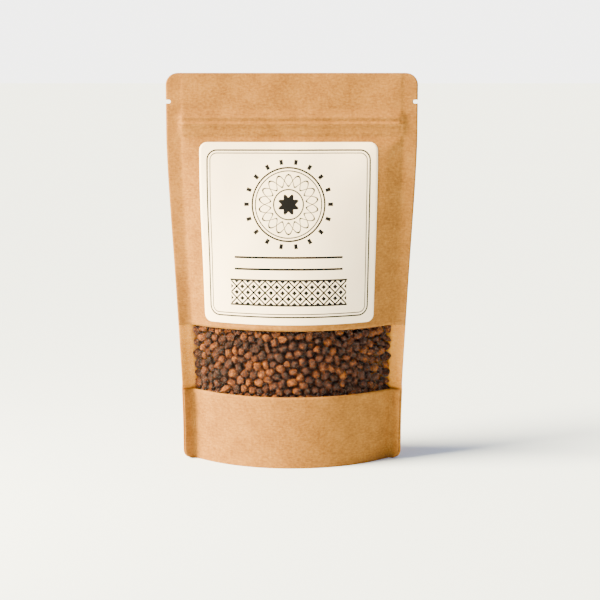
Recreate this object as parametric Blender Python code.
"""Kraft stand-up pouch of dried berries, standing on its opened base gusset.

The front is a clear ply with an upper and a lower sheet of kraft paper laminated to it, which leaves
a clear window strip right across the pouch. A kraft back web and a folded base gusset close it.
A press-to-close zip lies inside, under the tear notches, and a label is stuck on the upper paper.
The berries fill the inside to above the window.

Metres, +Z up, +X to the viewer's right and the front facing -Y. The origin is on the table, under
the middle of the pouch.
"""

import functools
import math

import bmesh
import bpy
import numpy as np
from mathutils import Euler, Matrix, Vector

MM = 0.001
FRONT = -1
BACK = 1

# The pouch, measured flat across and standing in height
WIDTH = 130 * MM
HEIGHT = 203.4 * MM
SIDE_SEAL = 7.5 * MM
INNER = WIDTH / 2 - SIDE_SEAL
TOP_RADIUS = 6.2 * MM
BASE_RADIUS = 5 * MM
WINDOW_LOW = 37.6 * MM
WINDOW_HIGH = 72 * MM

# How the filled walls swell: the angle at which they leave the side seals, from the zip to the base
BULGE_TOP = 171 * MM
BULGE_POWER = 0.75
BASE_ANGLE = math.radians(49.5)
CREASE = 2.5 * MM

# The side seals lean forward near the base
LEAN_ANGLE = math.radians(41)
LEAN_START = 118 * MM
LEAN_FULL = 20 * MM
LEAN_BEND = 4 * MM

# Plies and the gaps between them
PAPER = 0.35 * MM
FILM = 0.25 * MM
BACK_WEB = 0.4 * MM
GUSSET_WEB = 0.4 * MM
LABEL_STOCK = 0.2 * MM
GAP = 0.3 * MM
SEAL_GAP = GAP / 2
GUSSET_GAP = SEAL_GAP + GUSSET_WEB + GAP
FRONT_STACK = FILM + GAP + PAPER
MID_PLANE = (FRONT_STACK - BACK_WEB) / 2

# The base gusset: its fold in the seals, its seal line on the walls and the rise of its floor
GUSSET_FOLD = 37 * MM
GUSSET_SEAL = 3 * MM
GUSSET_CURVE = 2.2
FLOOR_RISE = 2 * MM
GUSSET_EASE = 3 * MM
GUSSET_END = WIDTH / 2 - 0.6 * MM
GUSSET_STEPS = 12

# The press-to-close zip: tape half height, rib half height and the room that they take
ZIP_HEIGHT = 178 * MM
TAPE = 4.4 * MM
TAPE_RAMP = 1.3 * MM
RIB = 1.7 * MM
RIB_RAMP = 1.1 * MM
TAPE_GAP = 0.7 * MM
RIB_GAP = 1.35 * MM
ZIP_END = 2.5 * MM
ZIP_LENGTH = 2 * (INNER - 3.5 * MM)

# The tear notches
NOTCH_HEIGHT = 188.7 * MM
NOTCH_DEPTH = 2.5 * MM
NOTCH_RADIUS = 1.0 * MM

# The label
LABEL_WIDTH = 92 * MM
LABEL_LOW = 75.2 * MM
LABEL_HIGH = 168 * MM
LABEL_SHIFT = -1.7 * MM
LABEL_RADIUS = 4 * MM

# The berries and the core that they are rooted in
BERRY_RADIUS = 2.75 * MM
BERRY_SPREAD = 0.25 * MM
BERRY_RANGE = (2.1 * MM, 3.1 * MM)
BERRY_CLEAR = 0.35 * MM
BERRY_PRESS = 0.92
CORE_INSET = 3.2 * MM
CORE_HALF_WIDTH = 51 * MM
CORE_TAPER = 0.1
CORE_CUTS = 7
CORE_UNEVEN = 0.9 * MM
CORE_DENT = 0.05
FILL_LEVEL = 124 * MM
FILL_DOME = 4 * MM
FLOOR_CLEAR = 3.5 * MM
PACKED_BERRIES = 380
PACK_HALF_WIDTH = 52 * MM
PACK_LOW = 36 * MM
PACK_HIGH = 74 * MM
PACK_DEPTH = 11 * MM
PACK_ROUNDS = 160
PACK_PUSH = 0.3
PACK_LEAN = 0.05 * MM
PACK_SETTLE = 0.01 * MM
FIRST_LAYER = 1.5
CORE_OVERHANG = 1.5 * MM
HIDDEN_STEP = 18 * MM
HIDDEN_JITTER = 3 * MM
SEED = 7

CUTTER_REACH = 30 * MM
WELD = 0.001 * MM

# Grid lines shared by every web, so that all plies are faceted alike
INNER_COLUMNS = 12
LEVEL_STEP = 16 * MM


def smooth(value):
    """Eases from 0 to 1 as the value goes from 0 to 1."""
    t = np.clip(value, 0, 1)
    return t * t * (3 - 2 * t)


FLAT = np.linspace(0, WIDTH / 2, 261)


def edge_angle(z):
    drop = max(0.0, (BULGE_TOP - z) / BULGE_TOP)
    return BASE_ANGLE * math.sin(math.pi / 2 * drop**BULGE_POWER)


@functools.lru_cache(maxsize=None)
def section(z):
    """Half of a wall's line at height z: distance across, depth in front of the seals, and turn."""
    straight = 1 - smooth((FLAT - INNER + CREASE) / (2 * CREASE))
    turn = edge_angle(z) * np.minimum(FLAT / INNER, 1) * straight
    middle = (turn[1:] + turn[:-1]) / 2
    across = np.concatenate(([0], np.cumsum(np.cos(middle)))) * FLAT[1]
    depth = np.concatenate(([0], np.cumsum(np.sin(middle)))) * FLAT[1]
    return across, depth[-1] - depth, turn


def half_gap(u, z):
    """Distance from the mid-plane line to a wall's inner face, by what lies between the walls."""
    heights = [-TAPE - TAPE_RAMP, -TAPE, -RIB - RIB_RAMP, -RIB, RIB, RIB + RIB_RAMP, TAPE, TAPE + TAPE_RAMP]
    gaps = [SEAL_GAP, TAPE_GAP, TAPE_GAP, RIB_GAP, RIB_GAP, TAPE_GAP, TAPE_GAP, SEAL_GAP]
    zip_gap = np.interp(z - ZIP_HEIGHT, heights, gaps)
    inside = np.clip((INNER - abs(u)) / ZIP_END, 0, 1)
    low = 1 - smooth((z - GUSSET_FOLD - GAP) / GUSSET_EASE)
    near_seal = np.clip((abs(u) - INNER + SIDE_SEAL) / SIDE_SEAL, 0, 1)
    return SEAL_GAP + (zip_gap - SEAL_GAP) * inside + (GUSSET_GAP - SEAL_GAP) * low * near_seal


def leaned(x, y, z):
    """Bends what lies past the seam forward, by the lean of the side seal at height z."""
    angle = LEAN_ANGLE * float(smooth((LEAN_START - z) / (LEAN_START - LEAN_FULL)))
    seam = float(np.interp(INNER, FLAT, section(z)[0]))
    past = x - seam
    if past <= 0 or angle < 1e-4:
        return x, y
    bend = min(past, LEAN_BEND)
    turn = angle * bend / LEAN_BEND
    radius = LEAN_BEND / angle
    along = radius * math.sin(turn) + (past - bend) * math.cos(turn)
    forward = radius * (1 - math.cos(turn)) + (past - bend) * math.sin(turn)
    return seam + along + y * math.sin(turn), y * math.cos(turn) - forward


def wall_point(side, u, z, out):
    """A point of the front or back wall, u across its flat width, out from its inner face."""
    across, depth, turn = (float(np.interp(abs(u), FLAT, line)) for line in section(z))
    reach = float(half_gap(u, z)) + out
    x, y = leaned(across + reach * math.sin(turn), side * (depth + reach * math.cos(turn)), z)
    return Vector((math.copysign(x, u), y + MID_PLANE, z))


def columns(left, right):
    """Shared grid lines across a web, with the web's own two edges."""
    inner = np.linspace(-INNER + CREASE + ZIP_END, INNER - CREASE - ZIP_END, INNER_COLUMNS + 1)
    seams = [s * (INNER + d) for s in (-1, 1) for d in (-CREASE, 0, CREASE)]
    shared = [u for u in sorted([*inner, *seams]) if left + MM < u < right - MM]
    return [left, *shared, right]


def levels(low, high):
    """Shared grid lines up a web: even steps, closer ones under the zip and the zip's own relief."""
    regular = list(np.arange(LEVEL_STEP, BULGE_TOP - LEVEL_STEP, LEVEL_STEP))
    swell = [BULGE_TOP - d * MM for d in (0, 3, 8)]
    relief = [ZIP_HEIGHT + s * d for s in (-1, 1) for d in (RIB, RIB + RIB_RAMP, TAPE, TAPE + TAPE_RAMP)]
    fold = [GUSSET_FOLD - 2 * MM, GUSSET_FOLD + 4 * MM]
    shared = [z for z in sorted([*regular, *swell, *relief, *fold]) if low + MM < z < high - MM]
    return [low, *shared, high]


def material(name, colour, roughness, alpha=1.0):
    made = bpy.data.materials.new(name)
    made.use_nodes = True
    shader = made.node_tree.nodes["Principled BSDF"]
    shader.inputs["Base Color"].default_value = (*colour, 1)
    shader.inputs["Roughness"].default_value = roughness
    shader.inputs["Metallic"].default_value = 0.0
    shader.inputs["Alpha"].default_value = alpha
    return made


def new_object(name, bm, collection, finish=None):
    mesh = bpy.data.meshes.new(name)
    bm.to_mesh(mesh)
    bm.free()
    made = bpy.data.objects.new(name, mesh)
    collection.objects.link(made)
    if finish:
        mesh.materials.append(finish)
    return made


def formed_sheet(name, across, up, place, finish, collection):
    """A flat grid, doubled to a thin slab and formed: place(u, z, face) is where each point goes."""
    bm = bmesh.new()
    wide, tall = len(across) - 1, len(up) - 1
    bmesh.ops.create_grid(bm, x_segments=wide, y_segments=tall, size=0.5)
    bmesh.ops.triangulate(bm, faces=bm.faces[:], quad_method="FIXED")
    inner = bm.verts[:]
    doubled = bmesh.ops.extrude_face_region(bm, geom=bm.faces[:], use_keep_orig=True)
    outer = [v for v in doubled["geom"] if isinstance(v, bmesh.types.BMVert)]
    for face, verts in enumerate((inner, outer)):
        for v in verts:
            column = round((v.co.x + 0.5) * wide)
            row = round((v.co.y + 0.5) * tall)
            v.co = place(across[column], up[row], face)
    bmesh.ops.recalc_face_normals(bm, faces=bm.faces[:])
    made = new_object(name, bm, collection, finish)
    made.data.shade_smooth()
    made.data.set_sharp_from_angle(angle=math.radians(30))
    return made


def web(name, side, low, high, inner_out, thickness, finish, collection):
    """A ply of the front or back wall, from height low to height high."""

    def place(u, z, face):
        return wall_point(side, u, z, inner_out + face * thickness)

    return formed_sheet(name, columns(-WIDTH / 2, WIDTH / 2), levels(low, high), place, finish, collection)


def gusset_line(u):
    """Heights in the gusset at u: where it leaves the walls, and how far its floor rises above that."""
    q = min(abs(u) / INNER, 1)
    leaves = GUSSET_SEAL + (GUSSET_FOLD - GUSSET_SEAL) * q**GUSSET_CURVE
    return leaves, SEAL_GAP + FLOOR_RISE * (1 - q * q)


def gusset_point(u, step, face):
    """A point along the gusset's path: up the front wall, over the floor and down the back wall.

    Steps 0 and 1 and their mirror are on the walls. The upper face meets the walls.
    """
    leaves, rise = gusset_line(u)
    out = -GAP - face * GUSSET_WEB
    if step < 1 or step > GUSSET_STEPS - 1:
        side = FRONT if step < 1 else BACK
        share = step if step < 1 else GUSSET_STEPS - step
        return wall_point(side, u, leaves * share, out)
    turn = math.pi * (step - 1) / (GUSSET_STEPS - 2)
    front, back = (wall_point(side, u, leaves, out) for side in (FRONT, BACK))
    point = front.lerp(back, (1 - math.cos(turn)) / 2)
    point.z = leaves + (rise + (1 - face) * GUSSET_WEB) * math.sin(turn)
    return point


def base_gusset(finish, collection):
    path = [0, 0.5, *range(1, GUSSET_STEPS), GUSSET_STEPS - 0.5, GUSSET_STEPS]
    return formed_sheet(
        "base_gusset", columns(-GUSSET_END, GUSSET_END), path, gusset_point, finish, collection
    )


def label(finish, collection):
    def place(u, z, face):
        return wall_point(FRONT, u, z, FRONT_STACK + GAP + face * LABEL_STOCK)

    left = LABEL_SHIFT - LABEL_WIDTH / 2
    right = LABEL_SHIFT + LABEL_WIDTH / 2
    return formed_sheet(
        "label", columns(left, right), levels(LABEL_LOW, LABEL_HIGH), place, finish, collection
    )


def frame(across, up, origin):
    """The matrix that lays a flat outline's X along across and its Y along up, at origin."""
    across, up = Vector(across), Vector(up)
    turn = Matrix((across, up, across.cross(up))).transposed().to_4x4()
    turn.translation = origin
    return turn


def extruded(name, outline, place, half_length, collection, finish=None):
    """A filled flat outline, extruded both ways along its own Z and laid in place by a matrix."""
    curve = bpy.data.curves.new(name, "CURVE")
    curve.dimensions = "2D"
    curve.fill_mode = "BOTH"
    curve.extrude = half_length
    line = curve.splines.new("POLY")
    line.points.add(len(outline) - 1)
    for point, (a, b) in zip(line.points, outline):
        point.co = (a, b, 0, 1)
    line.use_cyclic_u = True
    shape = bpy.data.objects.new(name, curve)
    collection.objects.link(shape)
    graph = bpy.context.evaluated_depsgraph_get()
    filled = bpy.data.meshes.new_from_object(shape.evaluated_get(graph))
    bpy.data.objects.remove(shape)
    bm = bmesh.new()
    bm.from_mesh(filled)
    bpy.data.meshes.remove(filled)
    bmesh.ops.remove_doubles(bm, verts=bm.verts[:], dist=WELD)
    bmesh.ops.transform(bm, matrix=place, verts=bm.verts[:])
    bmesh.ops.recalc_face_normals(bm, faces=bm.faces[:])
    return new_object(name, bm, collection, finish)


def zip_track(name, side, profile, finish, collection):
    """Half of the zip: a tape that follows the wall's relief, and the profile that presses shut."""
    tape_face = TAPE_GAP - GAP
    rib_face = RIB_GAP - GAP
    half = [(tape_face, TAPE), (tape_face, RIB + RIB_RAMP), (rib_face, RIB)]
    outer = [(y, -z) for y, z in half] + half[::-1]
    inner = [(SEAL_GAP, TAPE), (SEAL_GAP, RIB + RIB_RAMP + 0.1 * MM), (rib_face - FILM, RIB + 0.1 * MM)]
    outline = outer + inner + profile + [(y, -z) for y, z in inner[::-1]]
    place = frame((0, side, 0), (0, 0, 1), (0, MID_PLANE, ZIP_HEIGHT))
    return extruded(name, outline, place, ZIP_LENGTH / 2, collection, finish)


def rib_profile():
    """A stem with an arrow head, as depth from the mid-plane on its own side and height."""
    root = RIB_GAP - GAP - FILM
    half = [(root, 0.25), (-0.1 * MM, 0.25), (-0.1 * MM, 0.75), (-0.45 * MM, 0.45)]
    half = [(y, z * MM) for y, z in half]
    return half + [(y, -z) for y, z in half[::-1]]


def groove_profile():
    """Two hooked jaws that close round the arrow head."""
    root = RIB_GAP - GAP - FILM
    hook = [(-0.5 * MM, 1.45), (-0.5 * MM, 0.55), (-0.2 * MM, 0.55), (-0.2 * MM, 1.05)]
    half = [(root, 1.45), *hook, (root, 1.05)]
    half = [(y, z * MM) for y, z in half]
    return half + [(y, -z) for y, z in half[::-1]]


def corner_outline(radius):
    """What a rounded corner takes away, with the corner itself at (0, 0) and the sheet below left."""
    spare = 3 * MM
    arc = [math.pi / 2 * k / 8 for k in range(9)]
    curve = [(radius * (math.sin(t) - 1), radius * (math.cos(t) - 1)) for t in arc]
    return [*curve, (spare, -radius), (spare, spare), (-radius, spare)]


def notch_outline():
    """A tear notch: a slot with a round end, from the edge at (0, 0) inwards."""
    spare = 2 * MM
    arc = [math.pi / 2 + math.pi * k / 8 for k in range(9)]
    centre = NOTCH_RADIUS - NOTCH_DEPTH
    curve = [(centre + NOTCH_RADIUS * math.cos(t), NOTCH_RADIUS * math.sin(t)) for t in arc]
    return [*curve, (spare, -NOTCH_RADIUS), (spare, NOTCH_RADIUS)]


def cutter(name, outline, x, z, up, collection):
    """Two mirrored prisms along Y, for the sheet's edges at +x and -x, with the sheet's end at z."""
    made = []
    for sign, tag in ((-1, "left"), (1, "right")):
        place = frame((sign, 0, 0), (0, 0, up), (sign * x, 0, z))
        prism = extruded(f"{name}_{tag}", outline, place, CUTTER_REACH, collection)
        prism.hide_render = True
        prism.display_type = "WIRE"
        made.append(prism)
    return made


def cut(target, cutters):
    for tool in cutters:
        modifier = target.modifiers.new(tool.name, "BOOLEAN")
        modifier.operation = "DIFFERENCE"
        modifier.solver = "EXACT"
        modifier.object = tool


def core_half_width(z):
    share = np.clip((z - GUSSET_SEAL) / (FILL_LEVEL - GUSSET_SEAL), 0, 1)
    return CORE_HALF_WIDTH * (1 - CORE_TAPER * share)


def fill_floor(u):
    leaves, rise = gusset_line(u)
    return leaves + rise + GUSSET_WEB + FLOOR_CLEAR


def fill_core(collection, finish):
    """The rest of the heap, as one uneven body inset from the walls, the gusset and the fill level."""
    rng = np.random.default_rng(SEED)
    bm = bmesh.new()
    bmesh.ops.create_cube(bm, size=2)
    bmesh.ops.subdivide_edges(bm, edges=bm.edges[:], cuts=CORE_CUTS, use_grid_fill=True)
    for v in bm.verts:
        share = (v.co.z + 1) / 2
        u = v.co.x * CORE_HALF_WIDTH * (1 - CORE_TAPER * share)
        low = fill_floor(u)
        high = FILL_LEVEL + FILL_DOME * (1 - v.co.x**2)
        z = low + (high - low) * share
        front, back = (wall_point(side, u, z, -CORE_INSET) for side in (FRONT, BACK))
        v.co = front.lerp(back, (v.co.y + 1) / 2)
        v.co.z += rng.uniform(-CORE_UNEVEN, CORE_UNEVEN)
        v.co.y *= 1 - rng.uniform(0, CORE_DENT)
    bmesh.ops.recalc_face_normals(bm, faces=bm.faces[:])
    return new_object("berry_fill", bm, collection, finish)


def packed_berries():
    """Berries pressed against the window: columns u, z, depth behind the clear ply, and radius.

    They start at random and push each other apart, while they lean on the window and settle.
    """
    rng = np.random.default_rng(SEED)
    radius = np.clip(rng.normal(BERRY_RADIUS, BERRY_SPREAD, PACKED_BERRIES), *BERRY_RANGE)
    low = np.array([-PACK_HALF_WIDTH, PACK_LOW, 0])
    high = np.array([PACK_HALF_WIDTH, PACK_HIGH, PACK_DEPTH])
    place = rng.uniform(low, high, (PACKED_BERRIES, 3))
    touch = (radius[:, None] + radius[None, :]) * BERRY_PRESS
    for _ in range(PACK_ROUNDS):
        apart = place[:, None] - place[None, :]
        distance = np.linalg.norm(apart, axis=2) + 1e-9
        overlap = np.maximum(touch - distance, 0)
        np.fill_diagonal(overlap, 0)
        place += (apart / distance[..., None] * overlap[..., None]).sum(axis=1) * PACK_PUSH
        place[:, 2] -= PACK_LEAN
        place[:, 1] -= PACK_SETTLE
        place[:, 2] = np.maximum(place[:, 2], radius + BERRY_CLEAR)
        place = np.clip(place, low, high)
    return place, radius


def berry_shape(position, radius, rng, collection):
    """One berry as an egg with few sides, turned at random and never wider than its radius."""
    bm = bmesh.new()
    bmesh.ops.create_icosphere(bm, subdivisions=1, radius=radius)
    stretch = Matrix.Diagonal((1, rng.uniform(0.86, 1), rng.uniform(0.8, 0.95), 1))
    turn = Euler(rng.uniform(0, 2 * math.pi, 3)).to_matrix().to_4x4()
    bmesh.ops.transform(bm, matrix=Matrix.Translation(position) @ turn @ stretch, verts=bm.verts[:])
    return new_object("berry", bm, collection)


def window_berries(rng, collection):
    place, radius = packed_berries()
    for (u, z, depth), size in zip(place, radius):
        on_core = abs(u) < core_half_width(z) + CORE_OVERHANG and z > fill_floor(u)
        if depth < FIRST_LAYER * size and on_core:
            berry_shape(wall_point(FRONT, u, z, -depth), size, rng, collection)


def hidden_berries(rng, collection):
    """Fewer berries elsewhere on the heap, against both walls, where the paper hides them."""
    steps = np.arange(HIDDEN_STEP / 2 - CORE_HALF_WIDTH, CORE_HALF_WIDTH, HIDDEN_STEP)
    rows = np.arange(fill_floor(0) + BERRY_RADIUS, FILL_LEVEL, HIDDEN_STEP)
    for side in (FRONT, BACK):
        for row, level in enumerate(rows):
            for step in steps + (row % 2) * HIDDEN_STEP / 2:
                u, z = np.array([step, level]) + rng.uniform(-HIDDEN_JITTER, HIDDEN_JITTER, 2)
                at_window = side == FRONT and PACK_LOW - BERRY_RADIUS < z < PACK_HIGH + BERRY_RADIUS
                on_core = abs(u) < core_half_width(z) and fill_floor(u) < z
                if on_core and not at_window:
                    spot = wall_point(side, u, z, -BERRY_RADIUS - BERRY_CLEAR)
                    berry_shape(spot, BERRY_RADIUS, rng, collection)


def berry_fill(finish, collection):
    """The core and its berries, joined into one body."""
    core = fill_core(collection, finish)
    loose = bpy.data.collections.new("loose_berries")
    bpy.context.scene.collection.children.link(loose)
    rng = np.random.default_rng(SEED + 1)
    window_berries(rng, loose)
    hidden_berries(rng, loose)
    union = core.modifiers.new("join", "BOOLEAN")
    union.operation = "UNION"
    union.operand_type = "COLLECTION"
    union.solver = "MANIFOLD"
    union.collection = loose
    graph = bpy.context.evaluated_depsgraph_get()
    joined = bpy.data.meshes.new_from_object(core.evaluated_get(graph))
    core.modifiers.clear()
    core.data = joined
    for berry in list(loose.objects):
        bpy.data.objects.remove(berry)
    bpy.data.collections.remove(loose)
    return core


def main():
    for old in list(bpy.data.objects):
        bpy.data.objects.remove(old)
    pouch = bpy.data.collections.new("stand_up_pouch")
    tools = bpy.data.collections.new("cutters")
    for group in (pouch, tools):
        bpy.context.scene.collection.children.link(group)

    kraft = material("kraft_paper", (0.66, 0.42, 0.20), 0.8)
    kraft_back = material("kraft_back_laminate", (0.64, 0.40, 0.19), 0.8)
    kraft_base = material("kraft_gusset_laminate", (0.60, 0.37, 0.17), 0.8)
    clear = material("clear_film", (0.9, 0.9, 0.88), 0.15, alpha=0.25)
    white_tape = material("zip_polythene", (0.85, 0.85, 0.82), 0.4)
    sticker = material("label_paper", (0.88, 0.83, 0.73), 0.55)
    dried = material("dried_berries", (0.22, 0.07, 0.03), 0.6)

    front_film = web("front_film", FRONT, 0, HEIGHT, 0, FILM, clear, pouch)
    upper = web("front_paper_upper", FRONT, WINDOW_HIGH, HEIGHT, FILM + GAP, PAPER, kraft, pouch)
    lower = web("front_paper_lower", FRONT, 0, WINDOW_LOW, FILM + GAP, PAPER, kraft, pouch)
    back = web("back_panel", BACK, 0, HEIGHT, 0, BACK_WEB, kraft_back, pouch)
    gusset = base_gusset(kraft_base, pouch)
    sticker_sheet = label(sticker, pouch)
    zip_track("zip_rib_track", FRONT, rib_profile(), white_tape, pouch)
    zip_track("zip_groove_track", BACK, groove_profile(), white_tape, pouch)
    berry_fill(dried, pouch)

    top_corners = cutter("top_corner", corner_outline(TOP_RADIUS), WIDTH / 2, HEIGHT, 1, tools)
    notches = cutter("tear_notch", notch_outline(), WIDTH / 2, NOTCH_HEIGHT, 1, tools)
    for sheet in (front_film, back, upper):
        cut(sheet, top_corners + notches)
    for side, sheets in ((FRONT, (front_film, lower, gusset)), (BACK, (back,))):
        edge = wall_point(side, WIDTH / 2, 0, 0).x
        corners = cutter(f"base_corner_{side + 1}", corner_outline(BASE_RADIUS), edge, 0, -1, tools)
        for sheet in sheets:
            cut(sheet, corners)

    label_corners = []
    for z, up in ((LABEL_HIGH, 1), (LABEL_LOW, -1)):
        left = wall_point(FRONT, LABEL_SHIFT - LABEL_WIDTH / 2, z, FRONT_STACK + GAP).x
        right = wall_point(FRONT, LABEL_SHIFT + LABEL_WIDTH / 2, z, FRONT_STACK + GAP).x
        half = (right - left) / 2
        pair = cutter(f"label_corner_{up + 1}", corner_outline(LABEL_RADIUS), half, z, up, tools)
        for tool in pair:
            tool.location.x = (left + right) / 2
        label_corners += pair
    cut(sticker_sheet, label_corners)


main()
